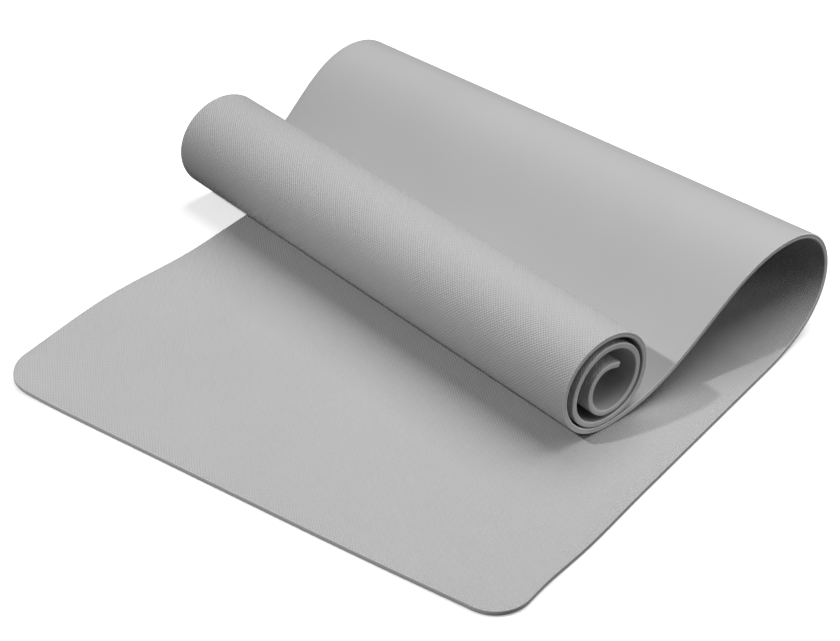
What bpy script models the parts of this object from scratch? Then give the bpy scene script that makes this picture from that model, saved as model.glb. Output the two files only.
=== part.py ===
"""Yoga mat, partly unrolled: a foam sheet of two bonded layers, flat at the front, folded back
over itself in a loop, and wound into a loose roll that rests on the flat part.

The mat is drawn flat, the way it is cut, with U across its width and S along its length, and
each panel of each layer is then folded into place. The fold is a ruled surface: a table of
straight lines, or rulings, that run from the near long edge to the far one.
"""

import math

import bmesh
import bpy
import numpy as np
from mathutils import Matrix, Vector

mm = 0.001
degree = math.pi / 180

# Flat mat
mat_width = 610 * mm
mat_length = 1645 * mm
top_layer_thickness = 2.85 * mm
bottom_layer_thickness = 2.85 * mm
bond_gap = 0.3 * mm
corner_radius = 40 * mm
tail_corner_radius = 5 * mm
edge_round = 0.9 * mm
panel_gap = 0.3 * mm
rest_gap = 0.3 * mm

# Distances behind the front edge of the world's origin, on the underside, and of the flap's fold
origin_distance = 250 * mm
front_flap_length = 150 * mm

# How far the back fold is out of square with the mat's width
fold_skew = 7.23 * degree

# Loop, seen along the fold: rear point and crest of the sheet's middle. The distances run from
# the line where the sheet leaves the floor.
loop_depth = 120 * mm
rear_height = 67.6 * mm
crest_height = 113 * mm
crest_setback = 51.7 * mm
lift_handle_share = 0.955
rear_handle_share = 0.21
crown_handle_share = 0.565
crest_handle_share = 0.588

# Slope from the crest down to the line where the roll touches the flat part: how far the roll's
# near end lies in front of the near edge's lift-off, and inside the near edge
roll_advance = 178.3 * mm
roll_inset = 78 * mm
roll_skew = 13.26 * degree
near_crest_share = 0.36
near_foot_share = 0.45
far_crest_share = 0.39
far_foot_share = 0.46

# Roll, seen along its axis, as places of the sheet's middle over the line where the roll touches
# the flat part: how far the outer turn reaches to the front, up and to the rear, how high its
# foremost and rearmost points lie, and how far forward its top lies
roll_front = 56.2 * mm
roll_top = 102.4 * mm
roll_rear = 49.5 * mm
front_waist = 53 * mm
rear_waist = 54.5 * mm
top_forward = 2.6 * mm

# Second turn: clear gaps to the outer one, and how much lower its foremost and rearmost points lie
second_bottom_gap = 0.5 * mm
second_front_gap = 7.2 * mm
second_top_gap = 6.8 * mm
second_rear_gap = 3.2 * mm
second_front_sag = 8.5 * mm
second_rear_sag = 1 * mm

# Core: clear gaps to the second turn, how much lower its foremost point lies and how far to the
# rear its lowest point lies, and how far the inner end runs on behind its top and drops
core_bottom_gap = 3.2 * mm
core_front_gap = 14.7 * mm
core_top_gap = 15.3 * mm
core_front_sag = 0.5 * mm
core_setback = 4.7 * mm
tail_reach = 17 * mm
tail_drop = 4.5 * mm

# Fullness of the quarter turns: 0.55 makes them round
quarter_share = 0.55
low_rear_share = 0.62

# Mesh fineness
bend_per_facet = 8 * degree
corner_facets = 8
slope_columns = 8
table_rows = 500
rim_segments = 2
smooth_angle = 40 * degree
merge_distance = 0.001 * mm

# Foam: linear grey and roughness of the embossed top layer and the smooth bottom layer
TOP_GREY, TOP_ROUGHNESS = 0.46, 0.8
BOTTOM_GREY, BOTTOM_ROUGHNESS = 0.48, 0.7

# Sizes that follow
mat_thickness = top_layer_thickness + bond_gap + bottom_layer_thickness
half_thickness = mat_thickness / 2
half_width = mat_width / 2
foot_height = mat_thickness + rest_gap + half_thickness

UP = np.array([0.0, 0.0, 1.0])


def unit(vector):
    return vector / np.linalg.norm(vector)


def in_plan(angle):
    """Direction that points to the front, turned towards the far edge by an angle."""
    return np.array([-math.sin(angle), -math.cos(angle), 0.0])


def bezier(start, start_handle, end_handle, end):
    share = np.linspace(0, 1, table_rows)[:, None]
    rest = 1 - share
    return (
        rest**3 * start
        + 3 * rest**2 * share * start_handle
        + 3 * rest * share**2 * end_handle
        + share**3 * end
    )


def run_length(points):
    return np.concatenate([[0], np.cumsum(np.linalg.norm(np.diff(points, axis=0), axis=1))])


def loop_profile():
    """Middle of the sheet from lift-off to the crest, as distance across the fold and height."""
    lift_off = half_width * math.sin(fold_skew)
    rear = lift_off + loop_depth
    rise = rear_height - half_thickness
    crown_rise = crest_height - rear_height
    crest = rear - crest_setback
    rising = bezier(
        np.array([lift_off, half_thickness]),
        np.array([lift_off + lift_handle_share * loop_depth, half_thickness]),
        np.array([rear, rear_height - rear_handle_share * rise]),
        np.array([rear, rear_height]),
    )
    crown = bezier(
        np.array([rear, rear_height]),
        np.array([rear, rear_height + crown_handle_share * crown_rise]),
        np.array([crest + crest_handle_share * crest_setback, crest_height]),
        np.array([crest, crest_height]),
    )
    return rising, crown


def loop_edge(profile, run, side):
    """One long edge of the mat round the loop, and the flat distance S of each of its points."""
    along = (run - side * half_width * math.sin(fold_skew)) / math.cos(fold_skew)
    fold_line = np.array([math.cos(fold_skew), -math.sin(fold_skew), 0.0])
    across_fold = np.array([math.sin(fold_skew), math.cos(fold_skew), 0.0])
    shift = side * half_width * math.cos(fold_skew) - along * math.sin(fold_skew)
    points = np.outer(shift, fold_line) + np.outer(profile[:, 0], across_fold) + np.outer(profile[:, 1], UP)
    return points, along


def slope_edge(crest, foot, crest_share, foot_share):
    """One long edge from the crest to the line where the roll touches the flat part."""
    reach = np.linalg.norm((foot - crest)[:2])
    return bezier(
        crest,
        crest + crest_share * reach * in_plan(2 * fold_skew),
        foot - foot_share * reach * in_plan(roll_skew),
        foot,
    )


def turn_points():
    """Points where the roll's sheet runs level or upright in turn, as forward distance and height."""
    second_bottom = mat_thickness + second_bottom_gap
    second_front = roll_front - mat_thickness - second_front_gap
    second_top = roll_top - mat_thickness - second_top_gap
    second_rear = roll_rear - mat_thickness - second_rear_gap
    core_bottom = second_bottom + mat_thickness + core_bottom_gap
    core_front = second_front - mat_thickness - core_front_gap
    core_top = second_top - mat_thickness - core_top_gap
    core_waist = front_waist - second_front_sag - core_front_sag
    return np.array([
        (0, 0),
        (roll_front, front_waist),
        (top_forward, roll_top),
        (-roll_rear, rear_waist),
        (0, second_bottom),
        (second_front, front_waist - second_front_sag),
        (0, second_top),
        (-second_rear, rear_waist - second_rear_sag),
        (-core_setback, core_bottom),
        (core_front, core_waist),
        (0, core_top),
    ])


def winding():
    """Middle of the roll's sheet as forward distance and height over the foot.

    Quarter turns join the points where it runs level or upright, and the inner end runs on from
    the last of them and droops.
    """
    points = turn_points()
    arcs = []
    for index, (start, end) in enumerate(zip(points, points[1:])):
        level, upright = np.diag(end - start)
        leave, arrive = (upright, level) if index % 2 else (level, upright)
        share = low_rear_share if index == 3 else quarter_share
        arcs.append(bezier(start, start + share * leave, end - share * arrive, end))
    top = points[-1]
    tail = top - np.array([tail_reach, tail_drop])
    droop = top - np.array([tail_reach / 2, 0])
    arcs.append(bezier(top, (top + 2 * droop) / 3, (tail + 2 * droop) / 3, tail))
    return np.concatenate([arcs[0]] + [arc[1:] for arc in arcs[1:]])


def folded_sections():
    """Long edges of the mat past its flat part, with their flat distances S, section by section.

    The near edge leaves the floor at the origin of Y and S. The flat part goes in front of it.
    """
    rising, crown = loop_profile()
    rising_run = rising[0, 0] + run_length(rising)
    crown_run = rising_run[-1] + run_length(crown)
    near_rise, near_rise_s = loop_edge(rising, rising_run, 1)
    far_rise, far_rise_s = loop_edge(rising, rising_run, -1)
    near_crown, near_crown_s = loop_edge(crown, crown_run, 1)
    far_crown, far_crown_s = loop_edge(crown, crown_run, -1)

    near_foot = np.array([half_width - roll_inset, -roll_advance, foot_height])
    roll_line = np.array([math.cos(roll_skew), -math.sin(roll_skew), 0.0])
    far_foot = near_foot - mat_width * roll_line
    near_slope = slope_edge(near_crown[-1], near_foot, near_crest_share, near_foot_share)
    far_slope = slope_edge(far_crown[-1], far_foot, far_crest_share, far_foot_share)
    near_slope_s = near_crown_s[-1] + run_length(near_slope)
    far_run = run_length(far_slope)
    far_slope_s = far_crown_s[-1] + far_run * (near_slope_s[-1] - far_crown_s[-1]) / far_run[-1]

    turns = winding()
    carried = np.outer(turns[:, 0], in_plan(roll_skew)) + np.outer(turns[:, 1], UP)
    turns_s = near_slope_s[-1] + run_length(turns)
    return (
        ("rear_fold", near_rise, far_rise, near_rise_s, far_rise_s),
        ("crest_fold", near_crown, far_crown, near_crown_s, far_crown_s),
        ("foot_fold", near_slope, far_slope, near_slope_s, far_slope_s),
        ("tail", near_foot + carried, far_foot + carried, turns_s, turns_s),
    )


def flat_edge(side, start, end):
    """One long edge of the flat part, and the flat distance S of each of its points."""
    along = np.linspace(start, end, table_rows)
    fixed = np.ones_like(along)
    points = np.column_stack([side * half_width * fixed, along - origin_distance, half_thickness * fixed])
    return points, along


def fold_table():
    """Rulings from the front edge to the roll's inner end, with the rows where panels part."""
    folded = folded_sections()
    near_flat = mat_length - folded[-1][3][-1]
    far_flat = near_flat + folded[0][4][0]
    near_flap, flap_s = flat_edge(1, 0, front_flap_length)
    far_flap, flap_s = flat_edge(-1, 0, front_flap_length)
    near_base, near_base_s = flat_edge(1, front_flap_length, near_flat)
    far_base, far_base_s = flat_edge(-1, front_flap_length, far_flat)
    sections = [
        ("front_fold", near_flap, far_flap, flap_s, flap_s),
        ("lift_off", near_base, far_base, near_base_s, far_base_s),
    ]
    behind = np.array([0.0, near_flat - origin_distance, 0.0])
    for name, near, far, near_s, far_s in folded:
        sections.append((name, near + behind, far + behind, near_s + near_flat, far_s + near_flat))

    marks = {}
    rows = 0
    joined = [[sections[0][column][:1]] for column in range(1, 5)]
    for section in sections:
        rows += len(section[3]) - 1
        marks[section[0]] = rows
        for column in range(1, 5):
            joined[column - 1].append(section[column][1:])
    near, far, near_s, far_s = [np.concatenate(parts) for parts in joined]
    return near, far, near_s, far_s, marks


NEAR, FAR, NEAR_S, FAR_S, MARKS = fold_table()
NEAR_RUN = np.gradient(NEAR, axis=0)
FAR_RUN = np.gradient(FAR, axis=0)


def fold(across, along, offset):
    """Where a point of the flat mat lies once the mat is folded. Offset is up from its middle."""
    share = across / mat_width + 0.5
    line_s = FAR_S * (1 - share) + NEAR_S * share
    row = np.interp(along, line_s, np.arange(len(line_s)))
    low = min(int(row), len(line_s) - 2)
    part = row - low
    near = NEAR[low] * (1 - part) + NEAR[low + 1] * part
    far = FAR[low] * (1 - part) + FAR[low + 1] * part
    near_run = unit(NEAR_RUN[low] * (1 - part) + NEAR_RUN[low + 1] * part)
    far_run = unit(FAR_RUN[low] * (1 - part) + FAR_RUN[low + 1] * part)
    normal = unit(np.cross(near - far, far_run * (1 - share) + near_run * share))
    return far * (1 - share) + near * share + offset * normal


def facet_rows(first, last):
    """Rows between two marks where the sheet has turned by one more facet's bend."""
    directions = NEAR_RUN / np.linalg.norm(NEAR_RUN, axis=1)[:, None]
    cosines = np.clip((directions[1:] * directions[:-1]).sum(axis=1), -1, 1)
    turned = np.concatenate([[0], np.cumsum(np.arccos(cosines))])
    total = turned[last] - turned[first]
    count = max(1, round(total / bend_per_facet))
    wanted = turned[first] + total * np.arange(1, count) / count
    return np.interp(wanted, turned[first : last + 1], np.arange(first, last + 1))


def flat_line(row):
    """Ends on the near and far long edges, in the flat mat, of the ruling at a row."""
    rows = np.arange(len(NEAR_S))
    return np.interp(row, rows, NEAR_S), np.interp(row, rows, FAR_S)


def corner_arc(side, along, radius, start):
    """Quarter round of the cut outline at one end's corner, turning anticlockwise from a start."""
    centre = side * (half_width - radius)
    angles = start + np.linspace(0, math.pi / 2, corner_facets + 1)
    return [(centre + radius * math.cos(angle), along + radius * math.sin(angle)) for angle in angles]


def panel_outline(first, last):
    """Cut outline of a panel between two marks, with which of its sides lie on the mat's rim."""
    if first is None:
        start = corner_arc(-1, corner_radius, corner_radius, math.pi)
        start += corner_arc(1, corner_radius, corner_radius, 1.5 * math.pi)
        start_rim = [True] * len(start)
    else:
        near_s, far_s = flat_line(MARKS[first])
        start = [(-half_width, far_s + panel_gap / 2), (half_width, near_s + panel_gap / 2)]
        start_rim = [False, True]
    if last == "tail":
        end = corner_arc(1, mat_length - tail_corner_radius, tail_corner_radius, 0)
        end += corner_arc(-1, mat_length - tail_corner_radius, tail_corner_radius, math.pi / 2)
        end_rim = [True] * len(end)
    else:
        near_s, far_s = flat_line(MARKS[last])
        end = [(half_width, near_s - panel_gap / 2), (-half_width, far_s - panel_gap / 2)]
        end_rim = [False, True]
    return start + end, start_rim + end_rim


def cut(mesh, point, normal):
    parts = mesh.verts[:] + mesh.edges[:] + mesh.faces[:]
    bmesh.ops.bisect_plane(mesh, geom=parts, dist=merge_distance, plane_co=point, plane_no=normal)


def panel_mesh(name, first, last, low, high, columns):
    """One layer of one panel: cut flat, rounded on its outer rim, creased and folded."""
    outline, rim = panel_outline(first, last)
    mesh = bmesh.new()
    floor = [mesh.verts.new((across, along, low)) for across, along in outline]
    ceiling = [mesh.verts.new((across, along, high)) for across, along in outline]
    mesh.faces.new(ceiling)
    mesh.faces.new(floor[::-1])
    for corner in range(len(outline)):
        mesh.faces.new((floor[corner - 1], floor[corner], ceiling[corner], ceiling[corner - 1]))
    outer = ceiling if high > half_thickness / 2 else floor
    sides = zip(outer, outer[1:] + outer[:1], rim)
    rim_edges = [mesh.edges.get((start, end)) for start, end, on_rim in sides if on_rim]
    bmesh.ops.bevel(mesh, geom=rim_edges, offset=edge_round, segments=rim_segments, profile=0.5, affect="EDGES")

    first_row = 0 if first is None else MARKS[first]
    for row in facet_rows(first_row, MARKS[last]):
        near_s, far_s = flat_line(row)
        middle = Vector((0, (near_s + far_s) / 2, 0))
        cut(mesh, middle, Vector((near_s - far_s, -mat_width, 0)))
    for column in range(1, columns):
        cut(mesh, Vector((mat_width * column / columns - half_width, 0, 0)), Vector((1, 0, 0)))

    bmesh.ops.triangulate(mesh, faces=mesh.faces[:], quad_method="SHORT_EDGE", ngon_method="BEAUTY")
    for vert in mesh.verts:
        vert.co = Vector(fold(vert.co.x, vert.co.y, vert.co.z))
    data = bpy.data.meshes.new(name)
    mesh.to_mesh(data)
    mesh.free()
    data.shade_smooth()
    data.set_sharp_from_angle(angle=smooth_angle)
    return data


def foam(name, grey, roughness):
    material = bpy.data.materials.new(name)
    material.use_nodes = True
    shader = material.node_tree.nodes["Principled BSDF"]
    shader.inputs["Base Color"].default_value = (grey, grey, grey, 1)
    shader.inputs["Roughness"].default_value = roughness
    material.diffuse_color = (grey, grey, grey, 1)
    return material


def fold_axis(mark, offset):
    """Point in the middle of a fold line, and the line's direction from the far to the near edge."""
    near_s, far_s = flat_line(MARKS[mark])
    near = fold(half_width, near_s, offset)
    far = fold(-half_width, far_s, offset)
    return (near + far) / 2, unit(near - far)


def joint_empty(name, mark, offset, parent):
    """Empty on a fold's axis, with its own X along the axis, that carries what the fold moves."""
    point, direction = fold_axis(mark, offset)
    side = np.cross(UP, direction)
    turn = Matrix((direction, side, UP)).transposed().to_4x4()
    place = Matrix.Translation(Vector(point)) @ turn
    empty = bpy.data.objects.new(name, None)
    empty.empty_display_size = corner_radius
    bpy.context.scene.collection.objects.link(empty)
    empty.parent = parent
    empty.matrix_basis = WORLD[parent.name].inverted() @ place if parent else place
    WORLD[name] = place
    print(name, "at", [round(float(v), 5) for v in point], "axis", [round(float(v), 5) for v in direction])
    return empty


def add_panel(name, first, last, joint, columns=1):
    """Both layers of a panel, each a node of its own, carried by the panel's joint."""
    layers = (
        ("top_layer_" + name, bond_gap / 2, half_thickness, TOP_GREY, TOP_ROUGHNESS),
        ("bottom_layer_" + name, -half_thickness, -bond_gap / 2, BOTTOM_GREY, BOTTOM_ROUGHNESS),
    )
    for layer, low, high, grey, roughness in layers:
        data = panel_mesh(layer, first, last, low, high, columns)
        if joint:
            data.transform(WORLD[joint.name].inverted())
        piece = bpy.data.objects.new(layer, data)
        piece.data.materials.append(foam(layer + "_foam", grey, roughness))
        bpy.context.scene.collection.objects.link(piece)
        piece.parent = joint


def least_gap():
    """Least clear distance between turns of the roll and to the slope, on the sheet's middle."""
    first = MARKS["crest_fold"]
    points = NEAR[first:]
    run = NEAR_S[first:]
    least = mat_length
    for index in range(0, len(points), 10):
        beyond = run > run[index] + roll_rear
        if beyond.any():
            least = min(least, np.linalg.norm(points[beyond] - points[index], axis=1).min())
    return least - mat_thickness


WORLD = {}

for old in list(bpy.data.objects):
    bpy.data.objects.remove(old, do_unlink=True)

front_joint = joint_empty("front_fold", "front_fold", half_thickness, None)
rear_joint = joint_empty("rear_fold", "rear_fold", -half_thickness, None)
crest_joint = joint_empty("crest_fold", "crest_fold", -half_thickness, rear_joint)
foot_joint = joint_empty("foot_fold", "foot_fold", half_thickness, crest_joint)

add_panel("front_flap", None, "front_fold", front_joint)
add_panel("base", "front_fold", "lift_off", None)
add_panel("rise", "lift_off", "rear_fold", None)
add_panel("loop", "rear_fold", "crest_fold", rear_joint)
add_panel("slope", "crest_fold", "foot_fold", crest_joint, slope_columns)
add_panel("roll", "foot_fold", "tail", foot_joint)
print("flat length along the near edge, mm:", round(float(NEAR_S[MARKS["lift_off"]]) / mm, 1))
print("least gap between the roll's turns, mm:", round(least_gap() / mm, 2))
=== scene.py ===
"""Yoga mat, partly unrolled: two bonded layers of grey foam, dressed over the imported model.

Each layer is cut flat, as the real one is. A point of the flat cut is given by its distance across
from the mat's middle line, its distance along from the front edge, called S for a line across the
mat, and its offset from the middle of the thickness. The cut pieces are then folded, and the roll
is wound up by Geometry Nodes.
"""

import math

import bmesh
import bpy
import numpy as np
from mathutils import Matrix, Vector


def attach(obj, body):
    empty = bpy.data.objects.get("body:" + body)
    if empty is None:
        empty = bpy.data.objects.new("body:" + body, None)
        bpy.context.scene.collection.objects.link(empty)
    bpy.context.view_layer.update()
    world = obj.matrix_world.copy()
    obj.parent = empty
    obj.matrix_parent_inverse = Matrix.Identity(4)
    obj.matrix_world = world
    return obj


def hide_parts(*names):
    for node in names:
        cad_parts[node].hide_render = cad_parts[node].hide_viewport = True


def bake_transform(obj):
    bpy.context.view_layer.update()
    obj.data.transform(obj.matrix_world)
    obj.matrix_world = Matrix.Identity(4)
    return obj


mm = 0.001
degree = math.pi / 180

# Camera, in line with the photograph's
camera_place = Vector((1.05373, -1.40202, 1.26898))
camera_tilt = 55.391 * degree
camera_turn = 36.081 * degree
camera_lens = 92.666
sensor_width = 36.0

# Flat mat
mat_width = 610 * mm
mat_length = 1645 * mm
layer_thickness = 3 * mm
bond_line = 0.02 * mm
corner_radius = 40 * mm
tail_corner_radius = 5 * mm
edge_round = 1.3 * mm
seam_round = 0.3 * mm
rest_gap = 0.3 * mm
origin_distance = 250 * mm
near_flat_length = 462.4 * mm

# Loop, seen along its fold, with the handles of its curves as shares of its own sizes
fold_skew = 7.23 * degree
loop_depth = 120 * mm
rear_height = 67.6 * mm
crest_height = 113 * mm
crest_setback = 51.7 * mm
lift_handle_share = 0.955
rear_handle_share = 0.21
crown_handle_share = 0.565
crest_handle_share = 0.588

# Slope from the crest to the line where the roll touches the flat part
roll_advance = 178.3 * mm
roll_inset = 78 * mm
roll_skew = 13.26 * degree
near_crest_share = 0.36
near_foot_share = 0.45
far_crest_share = 0.39
far_foot_share = 0.46

# Roll, seen along its axis, as places of the sheet's middle over the line where the roll touches
roll_front = 56.2 * mm
roll_top = 102.4 * mm
roll_rear = 49.5 * mm
front_waist = 53 * mm
rear_waist = 54.5 * mm
top_forward = 2.6 * mm
second_bottom_gap = 0.5 * mm
second_front_gap = 7.2 * mm
second_top_gap = 6.8 * mm
second_rear_gap = 3.2 * mm
second_front_sag = 8.5 * mm
second_rear_sag = 1 * mm
core_bottom_gap = 3.2 * mm
core_front_gap = 14.7 * mm
core_top_gap = 15.3 * mm
core_front_sag = 0.5 * mm
core_setback = 4.7 * mm
tail_reach = 17 * mm
tail_drop = 4.5 * mm
quarter_share = 0.55
low_rear_share = 0.62
low_rear_quarter = 3

# The far edge of the flat part waves: it lifts near the front and draws in near the roll
wave_start = 5 * mm
wave_high = 10 * mm
wave_low = -3 * mm
wave_top = 145 * mm
wave_bottom = 315 * mm
wave_fade = (400 * mm, 470 * mm)
wave_reach = 110 * mm
wave_softness = 1.5 * mm

# The edges are drawn in beside the near front corner, and the near one bows out behind it
corner_lift = 1.2 * mm
corner_reach = 230 * mm
corner_lift_fade = (60 * mm, 120 * mm)
front_draw = 3.2 * mm
front_draw_reach = 60 * mm
corner_tip_fade = (10 * mm, 45 * mm)
near_draw = 1.9 * mm
near_bulge = 0.9 * mm
near_draw_place = 60 * mm
near_bulge_place = 145 * mm
near_bow_end = 230 * mm
near_bow_reach = 80 * mm

# Mesh fineness
facet_bend = 2 * degree
roll_bend = 900 * degree
curve_steps = 250
flat_step = 15 * mm
slope_step = 10 * mm
corner_facets = 20
rim_segments = 3
table_rows = 500
search_steps = 28
normal_probe = 0.2 * mm
smooth_angle = 50 * degree
merge_distance = 0.001 * mm

# Where the scene's pieces part: on the loop, on the slope and round the roll
loop_seam_share = 0.5
slope_seam_distance = 34 * mm
roll_seam_share = 0.3

# Foam's finish, with noise scales in cells to a metre. The cut edges' greys hold painted light, and
# the diamonds' shade is painted shade
embossed_grey = 0.465
smooth_grey = 0.435
# Cut edges far lighter than the faces: painted light, standing in for the light on the near-side edges
top_edge_grey_with_painted_light = 0.74
bottom_edge_grey_with_painted_light = 0.78
embossed_roughness = 0.6
smooth_roughness = 0.55
edge_roughness = 0.8
foam_ior = 1.45
foam_specular = 0.45
diamond_pitch = 3.5 * mm
diamond_depth = 0.28 * mm
# Painted shade of the diamonds: darker dimples and lighter tops, as a share of the grey
diamond_painted_shade = 0.035
grain_scale = 1400.0
grain_detail = 2.0
grain_share = 0.5
cell_scale = 1100.0
cell_detail = 4.0
smooth_depth = 0.05 * mm
edge_depth = 0.3 * mm
mottle_scale = 9.0
mottle_detail = 3.0
mottle_range = (0.3, 0.7)
mottle_spread = 0.015

# Studio, whose floor is white to the camera and throws little light back at the object
white = (1, 1, 1, 1)
floor_reach = 12.0
floor_roughness = 0.9
floor_specular = 0.1
floor_seen_grey = 0.9
floor_bounce_grey = 0.1
floor_glow = 0.45
world_strength = 0.04

# Sizes that follow
half_width = mat_width / 2
mat_thickness = 2 * layer_thickness
half_thickness = mat_thickness / 2
foot_height = mat_thickness + rest_gap + half_thickness
up = np.array([0.0, 0.0, 1.0])

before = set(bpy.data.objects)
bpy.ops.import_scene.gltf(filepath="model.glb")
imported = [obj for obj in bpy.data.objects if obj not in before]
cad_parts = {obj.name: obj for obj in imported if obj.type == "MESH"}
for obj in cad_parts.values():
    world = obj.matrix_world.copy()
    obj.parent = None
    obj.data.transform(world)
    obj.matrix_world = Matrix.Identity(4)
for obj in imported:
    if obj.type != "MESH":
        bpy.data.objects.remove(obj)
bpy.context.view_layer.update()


def put_in_scene(name, data):
    """Make an object of its data, and link it to the scene."""
    made = bpy.data.objects.new(name, data)
    bpy.context.scene.collection.objects.link(made)
    return made


def unit(vectors):
    """Vectors of the same directions, 1 long."""
    return vectors / np.linalg.norm(vectors, axis=-1, keepdims=True)


def across_line(skew):
    """Direction of a line across the mat, from far to near, with its near end skewed to the front."""
    return np.array([math.cos(skew), -math.sin(skew), 0.0])


def forward_line(skew):
    """Direction to the front, at right angles to a line across the mat with that skew."""
    return np.array([-math.sin(skew), -math.cos(skew), 0.0])


def smooth_step(value, start, end):
    """Rise from 0 to 1 between a start and an end, level at both."""
    share = np.clip((value - start) / (end - start), 0, 1)
    return share * share * (3 - 2 * share)


def bezier(start, start_handle, end_handle, end):
    """Points along a cubic curve."""
    share = np.linspace(0, 1, table_rows)[:, None]
    rest = 1 - share
    return (
        rest**3 * start
        + 3 * rest**2 * share * start_handle
        + 3 * rest * share**2 * end_handle
        + share**3 * end
    )


def run_length(points):
    """Distance run along a row of points, at each of them."""
    return np.concatenate([[0], np.cumsum(np.linalg.norm(np.diff(points, axis=0), axis=1))])


def loop_profile():
    """Middle of the sheet from lift-off to rear and on to the crest, as distance and height."""
    lift_off = half_width * math.sin(fold_skew)
    rear = lift_off + loop_depth
    rise = rear_height - half_thickness
    crown_rise = crest_height - rear_height
    crest = rear - crest_setback
    rising = bezier(
        np.array([lift_off, half_thickness]),
        np.array([lift_off + lift_handle_share * loop_depth, half_thickness]),
        np.array([rear, rear_height - rear_handle_share * rise]),
        np.array([rear, rear_height]),
    )
    crown = bezier(
        np.array([rear, rear_height]),
        np.array([rear, rear_height + crown_handle_share * crown_rise]),
        np.array([crest + crest_handle_share * crest_setback, crest_height]),
        np.array([crest, crest_height]),
    )
    return rising, crown


def loop_edge(profile, run, side):
    """One long edge of the mat round the loop, and the flat distance S of each of its points."""
    along = (run - side * half_width * math.sin(fold_skew)) / math.cos(fold_skew)
    shift = side * half_width * math.cos(fold_skew) - along * math.sin(fold_skew)
    points = np.outer(shift, across_line(fold_skew))
    points -= np.outer(profile[:, 0], forward_line(fold_skew))
    points += np.outer(profile[:, 1], up)
    return points, along


def slope_edge(crest, foot, crest_share, foot_share):
    """One long edge from the crest to the line where the roll touches the flat part.

    An edge that is folded back over a skewed line comes back at twice its skew.
    """
    reach = np.linalg.norm((foot - crest)[:2])
    return bezier(
        crest,
        crest + crest_share * reach * forward_line(2 * fold_skew),
        foot - foot_share * reach * forward_line(roll_skew),
        foot,
    )


def turn_points():
    """Points where the roll's sheet runs level or upright in turn, as forward distance and height."""
    second_bottom = mat_thickness + second_bottom_gap
    second_front = roll_front - mat_thickness - second_front_gap
    second_top = roll_top - mat_thickness - second_top_gap
    second_rear = roll_rear - mat_thickness - second_rear_gap
    second_waist = front_waist - second_front_sag
    return np.array([
        (0, 0),
        (roll_front, front_waist),
        (top_forward, roll_top),
        (-roll_rear, rear_waist),
        (0, second_bottom),
        (second_front, second_waist),
        (0, second_top),
        (-second_rear, rear_waist - second_rear_sag),
        (-core_setback, second_bottom + mat_thickness + core_bottom_gap),
        (second_front - mat_thickness - core_front_gap, second_waist - core_front_sag),
        (0, second_top - mat_thickness - core_top_gap),
    ])


def turn_arcs():
    """The roll's quarter turns and its drooping inner end, each as start, two handles and end."""
    points = turn_points()
    arcs = []
    for index, (start, end) in enumerate(zip(points, points[1:])):
        level, upright = np.diag(end - start)
        leave, arrive = (upright, level) if index % 2 else (level, upright)
        share = low_rear_share if index == low_rear_quarter else quarter_share
        arcs.append((start, start + share * leave, end - share * arrive, end))
    top = points[-1]
    tail = top - np.array([tail_reach, tail_drop])
    droop = top - np.array([tail_reach / 2, 0])
    arcs.append((top, (top + 2 * droop) / 3, (tail + 2 * droop) / 3, tail))
    return arcs


def flat_edge(side, along):
    """One long edge of the flat part."""
    points = np.zeros((len(along), 3))
    points[:, 0] = side * half_width
    points[:, 1] = along
    points[:, 2] = half_thickness
    return points


def fold_table():
    """Rulings of the folded mat, from the front edge to the first part of the roll.

    Each ruling is a straight line from the far long edge to the near one. The table holds its
    two ends, their flat distances S, and the row at which each section ends.
    """
    rising, crown = loop_profile()
    rising_run = rising[0, 0] + run_length(rising)
    crown_run = rising_run[-1] + run_length(crown)
    near_rise, near_rise_s = loop_edge(rising, rising_run, 1)
    far_rise, far_rise_s = loop_edge(rising, rising_run, -1)
    near_crown, near_crown_s = loop_edge(crown, crown_run, 1)
    far_crown, far_crown_s = loop_edge(crown, crown_run, -1)

    near_foot = np.array([half_width - roll_inset, -roll_advance, foot_height])
    far_foot = near_foot - mat_width * across_line(roll_skew)
    near_slope = slope_edge(near_crown[-1], near_foot, near_crest_share, near_foot_share)
    far_slope = slope_edge(far_crown[-1], far_foot, far_crest_share, far_foot_share)
    near_slope_s = near_crown_s[-1] + run_length(near_slope)
    far_run = run_length(far_slope)
    far_slope_s = far_crown_s[-1] + far_run * (near_slope_s[-1] - far_crown_s[-1]) / far_run[-1]

    turned = bezier(*turn_arcs()[0])[: round(roll_seam_share * table_rows)]
    turned = np.outer(turned[:, 0], forward_line(roll_skew)) + np.outer(turned[:, 1], up)
    turned_s = near_slope_s[-1] + run_length(turned)

    near_flat_s = np.linspace(-near_flat_length, 0, table_rows)
    far_flat_s = np.linspace(-near_flat_length, far_rise_s[0], table_rows)
    sections = (
        ("lift_off", flat_edge(1, near_flat_s), flat_edge(-1, far_flat_s), near_flat_s, far_flat_s),
        ("rear", near_rise, far_rise, near_rise_s, far_rise_s),
        ("crest", near_crown, far_crown, near_crown_s, far_crown_s),
        ("foot", near_slope, far_slope, near_slope_s, far_slope_s),
        ("roll", near_foot + turned, far_foot + turned, turned_s, turned_s),
    )
    rows = 0
    marks = {}
    joined = [[column[:1]] for column in sections[0][1:]]
    for name, *columns in sections:
        rows += len(columns[0]) - 1
        marks[name] = rows
        for parts, column in zip(joined, columns):
            parts.append(column[1:])
    near, far, near_s, far_s = [np.concatenate(parts) for parts in joined]
    behind = np.array([0.0, near_flat_length - origin_distance, 0.0])
    return near + behind, far + behind, near_s + near_flat_length, far_s + near_flat_length, marks


NEAR, FAR, NEAR_S, FAR_S, MARKS = fold_table()
NEAR_RUN = np.gradient(NEAR, axis=0)
FAR_RUN = np.gradient(FAR, axis=0)


def at_row(table, row):
    """Rows of a table at fractional positions."""
    low = np.clip(row.astype(int), 0, len(table) - 2)
    part = (row - low).reshape((-1,) + (1,) * (table.ndim - 1))
    return table[low] * (1 - part) + table[low + 1] * part


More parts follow.
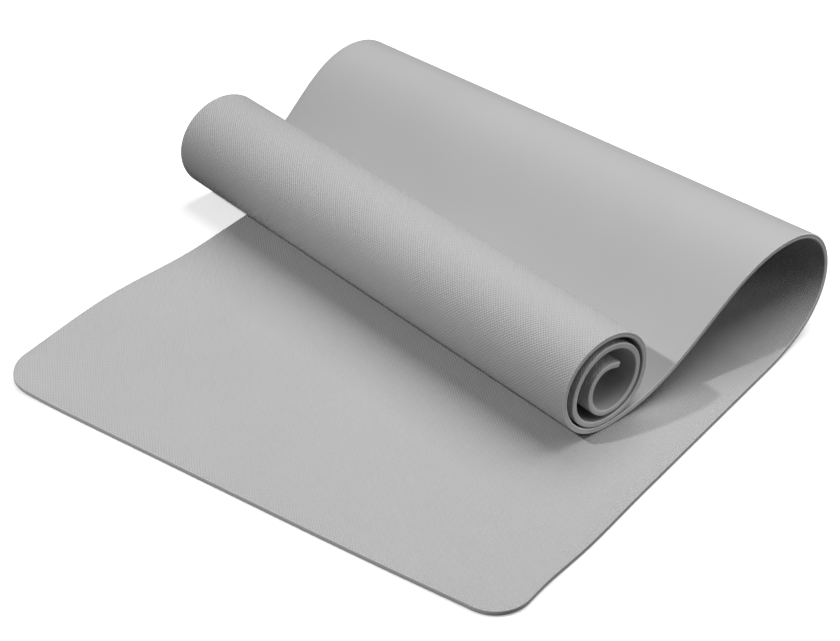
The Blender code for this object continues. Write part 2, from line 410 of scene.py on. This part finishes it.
def ripple(across, along):
    """How far the flat part's edges lie aside, back and up from a plain flat cut."""
    wave = wave_start + (wave_high - wave_start) * smooth_step(along, 0, wave_top)
    wave += (wave_low - wave_high) * smooth_step(along, wave_top, wave_bottom)
    reach = np.clip(1 - (across + half_width) / wave_reach, 0, 1) ** 2
    reach *= 1 - smooth_step(along, *wave_fade)
    rounded = np.hypot(wave, wave_softness)
    inward = half_width - across
    bow = -near_draw * smooth_step(along, 0, near_draw_place)
    bow += (near_draw + near_bulge) * smooth_step(along, near_draw_place, near_bulge_place)
    bow -= near_bulge * smooth_step(along, near_bulge_place, near_bow_end)
    bow *= np.clip(1 - inward / near_bow_reach, 0, 1) ** 2
    at_corner = np.clip(1 - inward / corner_reach, 0, 1) ** 2
    back = front_draw * at_corner * np.clip(1 - along / front_draw_reach, 0, 1) ** 2
    back *= smooth_step(inward + along, *corner_tip_fade)
    lift = corner_lift * at_corner * (1 - smooth_step(along, *corner_lift_fade))
    aside = (rounded - wave) / 2 * reach + bow
    return np.column_stack([aside, back, (rounded + wave) / 2 * reach + lift])


def fold(flat):
    """Where points of the flat mat, given as across, along and offset, lie in the folded mat."""
    across, along, offset = flat.T
    share = across / mat_width + 0.5
    low = np.zeros(len(flat))
    high = np.full(len(flat), len(NEAR_S) - 1.0)
    for halving in range(search_steps):
        row = (low + high) / 2
        beyond = at_row(FAR_S, row) * (1 - share) + at_row(NEAR_S, row) * share > along
        high = np.where(beyond, row, high)
        low = np.where(beyond, low, row)
    share = share[:, None]
    line = at_row(NEAR, row) - at_row(FAR, row)
    run = unit(at_row(FAR_RUN, row)) * (1 - share) + unit(at_row(NEAR_RUN, row)) * share
    folded = at_row(FAR, row) + share * line + offset[:, None] * unit(np.cross(line, run))
    return folded + ripple(across, along)


def facet_rows(first, last, step):
    """Rows that cut a stretch into facets, no more bent than facet_bend and no longer than a step."""
    directions = unit(NEAR_RUN)
    cosines = np.clip((directions[1:] * directions[:-1]).sum(axis=1), -1, 1)
    bends = np.concatenate([[0], np.cumsum(np.arccos(cosines))]) / facet_bend
    facets = bends + NEAR_S / step
    total = facets[last] - facets[first]
    count = math.ceil(total)
    wanted = facets[first] + total * np.arange(1, count) / count
    return np.interp(wanted, facets[first : last + 1], np.arange(first, last + 1))


def column_places(step):
    """Where columns of facets meet, across the mat. A step of 0 makes one column."""
    count = math.ceil(mat_width / step) if step else 1
    return [column * step - half_width for column in range(1, count)]


def flat_line(row):
    """Near and far S of the ruling at a row."""
    rows = np.arange(len(NEAR_S))
    return np.interp(row, rows, NEAR_S), np.interp(row, rows, FAR_S)


def corner_arc(side, along, radius, start):
    """Quarter round of the cut outline at one end's corner, turning anticlockwise from a start."""
    centre = side * (half_width - radius)
    angles = start + np.linspace(0, math.pi / 2, corner_facets + 1)
    return [(centre + radius * math.cos(angle), along + radius * math.sin(angle)) for angle in angles]


def cut_outline(start_line, end_line):
    """Cut outline between two rulings, with which of its sides lie on the mat's rim.

    A ruling is given by its near and far S. None stands for the mat's own rounded end.
    """
    if start_line is None:
        start = corner_arc(-1, corner_radius, corner_radius, math.pi)
        start += corner_arc(1, corner_radius, corner_radius, 1.5 * math.pi)
        start_rim = [True] * len(start)
    else:
        start = [(-half_width, start_line[1]), (half_width, start_line[0])]
        start_rim = [False, True]
    if end_line is None:
        end = corner_arc(1, mat_length - tail_corner_radius, tail_corner_radius, 0)
        end += corner_arc(-1, mat_length - tail_corner_radius, tail_corner_radius, math.pi / 2)
        end_rim = [True] * len(end)
    else:
        end = [(half_width, end_line[0]), (-half_width, end_line[1])]
        end_rim = [False, True]
    return start + end, start_rim + end_rim


def crease(sheet, point, normal):
    """Divide a flat piece's faces along a line."""
    parts = sheet.verts[:] + sheet.edges[:] + sheet.faces[:]
    bmesh.ops.bisect_plane(sheet, geom=parts, dist=merge_distance, plane_co=point, plane_no=normal)


def cut_sheet(name, layer, start_line, end_line, crease_lines, columns):
    """One layer's flat piece, rounded on its rim, creased, and mapped with its flat place."""
    if layer == "top":
        low, high = bond_line / 2, half_thickness
    else:
        low, high = -half_thickness, -bond_line / 2
    outline, rim = cut_outline(start_line, end_line)
    sheet = bmesh.new()
    under = [sheet.verts.new((across, along, low)) for across, along in outline]
    over = [sheet.verts.new((across, along, high)) for across, along in outline]
    sheet.faces.new(over)
    sheet.faces.new(under[::-1])
    for corner in range(len(outline)):
        sheet.faces.new((under[corner - 1], under[corner], over[corner], over[corner - 1]))
    outer, inner = (over, under) if layer == "top" else (under, over)
    for ring, size, segments in ((inner, seam_round, 1), (outer, edge_round, rim_segments)):
        sides = zip(ring, ring[1:] + ring[:1], rim)
        edges = [sheet.edges.get((start, end)) for start, end, on_rim in sides if on_rim]
        bmesh.ops.bevel(sheet, geom=edges, offset=size, segments=segments, profile=0.5, affect="EDGES")
    for near_s, far_s in crease_lines:
        middle = Vector((0, (near_s + far_s) / 2, 0))
        crease(sheet, middle, Vector((near_s - far_s, -mat_width, 0)))
    for across in columns:
        crease(sheet, Vector((across, 0, 0)), Vector((1, 0, 0)))

    place = sheet.loops.layers.uv.new("flat_cut")
    for face in sheet.faces:
        face.material_index = 0 if abs(face.normal.z) > math.cos(smooth_angle / 2) else 1
        for corner in face.loops:
            corner[place].uv = corner.vert.co.xy
    data = bpy.data.meshes.new(name)
    sheet.to_mesh(data)
    sheet.free()
    data.shade_smooth()
    data.set_sharp_from_angle(angle=smooth_angle)
    return data


def fold_sheet(data):
    """Fold a flat piece into place, and turn its flat shading with it so that seams don't show."""
    flat = np.zeros(len(data.vertices) * 3)
    data.vertices.foreach_get("co", flat)
    flat = flat.reshape(-1, 3)
    flat_normals = np.zeros(len(data.loops) * 3)
    data.corner_normals.foreach_get("vector", flat_normals)
    flat_normals = flat_normals.reshape(-1, 3)
    corners = np.zeros(len(data.loops), int)
    data.loops.foreach_get("vertex_index", corners)

    across_probe = np.array([normal_probe, 0, 0])
    along_probe = np.array([0, normal_probe, 0])
    across_run = (fold(flat + across_probe) - fold(flat - across_probe))[corners]
    along_run = (fold(flat + along_probe) - fold(flat - along_probe))[corners]
    upright = unit(np.cross(across_run, along_run))
    turned = (
        flat_normals[:, :1] * unit(np.cross(along_run, upright))
        + flat_normals[:, 1:2] * unit(np.cross(upright, across_run))
        + flat_normals[:, 2:] * upright
    )
    data.vertices.foreach_set("co", fold(flat).ravel())
    data.update()
    data.normals_split_custom_set(unit(turned))


def add(tree, kind, *inputs, **options):
    """Add a node with its options, and fill its inputs in order with values or outputs."""
    made = tree.nodes.new(kind)
    for option, value in options.items():
        setattr(made, option, value)
    for socket, value in zip(made.inputs, inputs):
        if isinstance(value, bpy.types.NodeSocket):
            tree.links.new(value, socket)
        elif value is not None:
            socket.default_value = value
    return made


def calc(tree, operation, *values):
    """Result of arithmetic on numbers."""
    return add(tree, "ShaderNodeMath", *values, operation=operation).outputs[0]


def vector_sum(tree, first, second):
    """Result of adding two vectors."""
    return add(tree, "ShaderNodeVectorMath", first, second, operation="ADD").outputs[0]


def scaled(tree, vector, scale):
    """Result of making a vector longer by a number."""
    made = add(tree, "ShaderNodeVectorMath", vector, operation="SCALE")
    tree.links.new(scale, made.inputs["Scale"])
    return made.outputs[0]


def foam_material(name, grey, roughness):
    """Foam with flat-cut coordinates and a soft mottle, ready for its own surface relief."""
    material = bpy.data.materials.new(name)
    material.use_nodes = True
    tree = material.node_tree
    shader = tree.nodes["Principled BSDF"]
    shader.inputs["Roughness"].default_value = roughness
    shader.inputs["IOR"].default_value = foam_ior
    shader.inputs["Specular IOR Level"].default_value = foam_specular
    flat = add(tree, "ShaderNodeUVMap", uv_map="flat_cut").outputs["UV"]
    mottle = add(tree, "ShaderNodeTexNoise", flat, None, mottle_scale, mottle_detail).outputs["Fac"]
    dark = grey * (1 - mottle_spread)
    light = grey * (1 + mottle_spread)
    tone = add(tree, "ShaderNodeMapRange", mottle, *mottle_range, dark, light).outputs[0]
    return material, tree, shader, flat, tone


def raise_relief(tree, shader, height, depth):
    """Let a height pattern shape the surface's light."""
    relief = add(tree, "ShaderNodeBump")
    relief.inputs["Distance"].default_value = depth
    tree.links.new(height, relief.inputs["Height"])
    tree.links.new(relief.outputs["Normal"], shader.inputs["Normal"])


def embossed_foam(name, grey, roughness, pitch, depth):
    """The grip face: small raised diamonds in staggered rows, over the foam's grain, with painted
    shade in the dimples between them and painted light on their tops.
    """
    material, tree, shader, flat, tone = foam_material(name, grey, roughness)
    place = add(tree, "ShaderNodeSeparateXYZ", flat)
    waves = [
        calc(tree, "SINE", calc(tree, "MULTIPLY", place.outputs[axis], 2 * math.pi / pitch))
        for axis in ("X", "Y")
    ]
    diamonds = calc(tree, "MULTIPLY", waves[0], waves[1])
    grain = add(tree, "ShaderNodeTexNoise", flat, None, grain_scale, grain_detail).outputs["Fac"]
    height = calc(tree, "MULTIPLY_ADD", grain, grain_share, diamonds)
    # Painted shade and light of the relief: darker in the dimples, lighter on the raised diamonds
    shade = calc(tree, "MULTIPLY_ADD", diamonds, grey * diamond_painted_shade, tone)
    tree.links.new(shade, shader.inputs["Base Color"])
    raise_relief(tree, shader, height, depth)
    return material


def smooth_foam(name, grey, roughness, depth):
    """The plain face, and with more depth the cut edge: only the foam's own fine cells in its relief,
    over a grey that for the cut edges holds painted light.
    """
    material, tree, shader, flat, tone = foam_material(name, grey, roughness)
    cells = add(tree, "ShaderNodeTexNoise", flat, None, cell_scale, cell_detail).outputs["Fac"]
    tree.links.new(tone, shader.inputs["Base Color"])
    raise_relief(tree, shader, cells, depth)
    return material


def named_input(tree, name, kind, value=None):
    """Give a tree an input, with its value where it has one."""
    socket = tree.interface.new_socket(name, in_out="INPUT", socket_type="NodeSocket" + kind)
    if value is not None:
        socket.default_value = value


def winding_curve():
    """The roll's turns as a curve object, with X forward and Z up from the foot."""
    arcs = turn_arcs()
    data = bpy.data.curves.new("winding", "CURVE")
    data.dimensions = "3D"
    data.resolution_u = curve_steps
    spline = data.splines.new("BEZIER")
    spline.bezier_points.add(len(arcs))
    knots = [arc[0] for arc in arcs] + [arcs[-1][3]]
    arriving = knots[:1] + [arc[2] for arc in arcs]
    leaving = [arc[1] for arc in arcs] + knots[-1:]
    for point, *places in zip(spline.bezier_points, knots, arriving, leaving):
        point.handle_left_type = point.handle_right_type = "FREE"
        placed = [(ahead, 0, height) for ahead, height in places]
        point.co, point.handle_left, point.handle_right = placed
    return put_in_scene("winding", data)


def winding_tree():
    """Geometry Nodes that wind a flat sheet up into the roll.

    Each point of the sheet goes to the winding's point at its own length from the foot, and then
    out along the winding's normal by its offset.
    """
    tree = bpy.data.node_groups.new("wind_up_sheet", "GeometryNodeTree")
    tree.interface.new_socket("Geometry", in_out="OUTPUT", socket_type="NodeSocketGeometry")
    named_input(tree, "Geometry", "Geometry")
    named_input(tree, "Foot Distance", "Float", float(NEAR_S[MARKS["foot"]]))
    named_input(tree, "Half Width", "Float", half_width)
    named_input(tree, "Near Foot", "Vector", NEAR[MARKS["foot"]].tolist())
    named_input(tree, "Forward", "Vector", forward_line(roll_skew).tolist())
    named_input(tree, "Roll Line", "Vector", across_line(roll_skew).tolist())
    named_input(tree, "Winding", "Object")
    named_input(tree, "Face", "Material")
    named_input(tree, "Cut Edge", "Material")
    given = tree.nodes.new("NodeGroupInput").outputs

    turns = add(tree, "GeometryNodeObjectInfo", given["Winding"]).outputs["Geometry"]
    flat = add(tree, "ShaderNodeSeparateXYZ", add(tree, "GeometryNodeInputPosition").outputs[0])
    wound = calc(tree, "SUBTRACT", flat.outputs["Y"], given["Foot Distance"])
    sample = tree.nodes.new("GeometryNodeSampleCurve")
    sample.mode = "LENGTH"
    sample.use_all_curves = True
    tree.links.new(turns, sample.inputs["Curves"])
    tree.links.new(wound, sample.inputs["Length"])
    middle = add(tree, "ShaderNodeSeparateXYZ", sample.outputs["Position"])
    tangent = add(tree, "ShaderNodeSeparateXYZ", sample.outputs["Tangent"])
    offset = flat.outputs["Z"]
    ahead = calc(tree, "MULTIPLY_ADD", tangent.outputs["Z"], offset, middle.outputs["X"])
    dropped = calc(tree, "MULTIPLY", tangent.outputs["X"], offset)
    height = calc(tree, "SUBTRACT", middle.outputs["Z"], dropped)
    raised = add(tree, "ShaderNodeCombineXYZ", 0.0, 0.0, height).outputs[0]
    inward = calc(tree, "SUBTRACT", flat.outputs["X"], given["Half Width"])
    place = vector_sum(tree, given["Near Foot"], scaled(tree, given["Roll Line"], inward))
    place = vector_sum(tree, place, scaled(tree, given["Forward"], ahead))
    place = vector_sum(tree, place, raised)
    rolled = add(tree, "GeometryNodeSetPosition", given["Geometry"], None, place)

    real = add(tree, "GeometryNodeRealizeInstances", rolled.outputs[0])
    faced = add(tree, "GeometryNodeSetMaterial", real.outputs[0], None, given["Face"])
    flag = add(tree, "GeometryNodeInputNamedAttribute", "cut_edge", data_type="BOOLEAN")
    is_edge = flag.outputs["Attribute"]
    edged = add(tree, "GeometryNodeSetMaterial", faced.outputs[0], is_edge, given["Cut Edge"])
    add(tree, "NodeGroupOutput", edged.outputs[0])
    return tree


def wind_sheet(data, tree, winding, face, edge):
    """Run the winding on a flat piece, and return the wound mesh."""
    flag = data.attributes.new("cut_edge", "BOOLEAN", "FACE")
    slots = np.zeros(len(data.polygons), np.int32)
    data.polygons.foreach_get("material_index", slots)
    flag.data.foreach_set("value", slots.astype(bool))
    flat = put_in_scene(data.name + "_flat", data)
    winder = flat.modifiers.new("wind", "NODES")
    winder.node_group = tree
    given = {"Winding": winding, "Face": face, "Cut Edge": edge}
    for socket in tree.interface.items_tree:
        if socket.name in given:
            winder[socket.identifier] = given[socket.name]
    seen = flat.evaluated_get(bpy.context.evaluated_depsgraph_get())
    wound = bpy.data.meshes.new_from_object(seen)
    bpy.data.objects.remove(flat, do_unlink=True)
    wound.attributes.remove(wound.attributes["cut_edge"])
    wound.name = data.name
    return wound


def add_piece(name, data):
    """Put a finished sheet into the scene."""
    piece = put_in_scene(name, data)
    return piece


# Each layer with its face and its cut edge, whose lighter grey is painted light
layers = (
    (
        "top",
        embossed_foam(
            "embossed_grip_face", embossed_grey, embossed_roughness, diamond_pitch, diamond_depth
        ),
        smooth_foam("top_layer_cut_edge", top_edge_grey_with_painted_light, edge_roughness, edge_depth),
    ),
    (
        "bottom",
        smooth_foam("smooth_back_face", smooth_grey, smooth_roughness, smooth_depth),
        smooth_foam("bottom_layer_cut_edge", bottom_edge_grey_with_painted_light, edge_roughness, edge_depth),
    ),
)

# Rows where the pieces part
lift_row = MARKS["lift_off"]
loop_row = round(MARKS["rear"] + loop_seam_share * (MARKS["crest"] - MARKS["rear"]))
before_foot = NEAR_S[MARKS["foot"]] - slope_seam_distance
slope_row = round(float(np.interp(before_foot, NEAR_S, np.arange(len(NEAR_S)))))
roll_row = MARKS["roll"]

# Each stretch with its first and last rows, facet length and column width
stretches = (
    ("front", 0, lift_row, flat_step, flat_step),
    ("loop", lift_row, loop_row, slope_step, 0),
    ("slope", loop_row, slope_row, slope_step, slope_step),
    ("foot", slope_row, roll_row, slope_step, slope_step),
)

# The nodes of its layer that each stretch stands for
stood_for = {
    "front": ("base", "front_flap"),
    "loop": ("rise",),
    "slope": ("loop", "slope"),
    "foot": (),
}

# Folded stretches
for layer, face, edge in layers:
    for stretch, first, last, row_step, column_step in stretches:
        start_line = None if first == 0 else flat_line(first)
        lines = [flat_line(row) for row in facet_rows(first, last, row_step)]
        name = layer + "_layer_" + stretch + "_sheet"
        data = cut_sheet(name, layer, start_line, flat_line(last), lines, column_places(column_step))
        fold_sheet(data)
        data.materials.append(face)
        data.materials.append(edge)
        piece = add_piece(name, data)
        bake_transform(piece)
        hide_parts(*[layer + "_layer_" + node for node in stood_for[stretch]])

# Roll
winder = winding_tree()
winding = winding_curve()
roll_start = flat_line(roll_row)
roll_facets = round(roll_bend / facet_bend)
turn_lines = [(line, line) for line in np.linspace(roll_start[0], mat_length, roll_facets)[1:-1]]
for layer, face, edge in layers:
    name = layer + "_layer_roll_sheet"
    data = cut_sheet(name, layer, roll_start, None, turn_lines, [])
    data.materials.append(face)
    data.materials.append(edge)
    piece = add_piece(name, wind_sheet(data, winder, winding, face, edge))
    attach(piece, "roll")
    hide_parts(layer + "_layer_roll")
bpy.data.objects.remove(winding, do_unlink=True)

# Floor
floor_data = bpy.data.meshes.new("studio_floor")
corners = [(side * floor_reach, -floor_reach, 0) for side in (-1, 1)]
corners += [(side * floor_reach, floor_reach, 0) for side in (1, -1)]
floor_data.from_pydata(corners, [], [(0, 1, 2, 3)])
studio_floor = put_in_scene("studio_floor", floor_data)
paper = bpy.data.materials.new("white_paper")
paper.use_nodes = True
tree = paper.node_tree
shader = tree.nodes["Principled BSDF"]
shader.inputs["Roughness"].default_value = floor_roughness
shader.inputs["Specular IOR Level"].default_value = floor_specular
shader.inputs["Emission Color"].default_value = white
seen = add(tree, "ShaderNodeLightPath").outputs["Is Camera Ray"]
pale = calc(tree, "MULTIPLY_ADD", seen, floor_seen_grey - floor_bounce_grey, floor_bounce_grey)
tree.links.new(pale, shader.inputs["Base Color"])
tree.links.new(calc(tree, "MULTIPLY", seen, floor_glow), shader.inputs["Emission Strength"])
floor_data.materials.append(paper)

world = bpy.data.worlds.new("studio")
bpy.context.scene.world = world
world.use_nodes = True
background = world.node_tree.nodes["Background"]
background.inputs["Color"].default_value = white
background.inputs["Strength"].default_value = world_strength


def soft_box(name, place, aim, size, power):
    """A panel of light, with its size as seen from the floor: width, then depth."""
    lamp = bpy.data.lights.new(name, "AREA")
    lamp.shape = "RECTANGLE"
    lamp.size, lamp.size_y = size
    lamp.energy = power
    holder = put_in_scene(name, lamp)
    holder.location = place
    holder.rotation_euler = (Vector(aim) - Vector(place)).to_track_quat("-Z", "Y").to_euler()


soft_box("overhead_softbox", place=(0.25, 1.05, 2.4), aim=(0, 0.1, 0), size=(2.4, 2.3), power=65)
soft_box("front_left_key", place=(-0.84, -1.54, 2.0), aim=(0.1, 0.1, 0), size=(0.1, 0.1), power=31)
soft_box("right_fill", place=(1.8, 0.3, 1.6), aim=(0.1, 0.1, 0), size=(1.0, 1.0), power=6)

camera_data = bpy.data.cameras.new("camera")
camera_data.lens = camera_lens
camera_data.sensor_width = sensor_width
camera = put_in_scene("camera", camera_data)
camera.location = camera_place
camera.rotation_euler = (camera_tilt, 0, camera_turn)
bpy.context.scene.camera = camera
bpy.context.scene.view_settings.view_transform = "Standard"
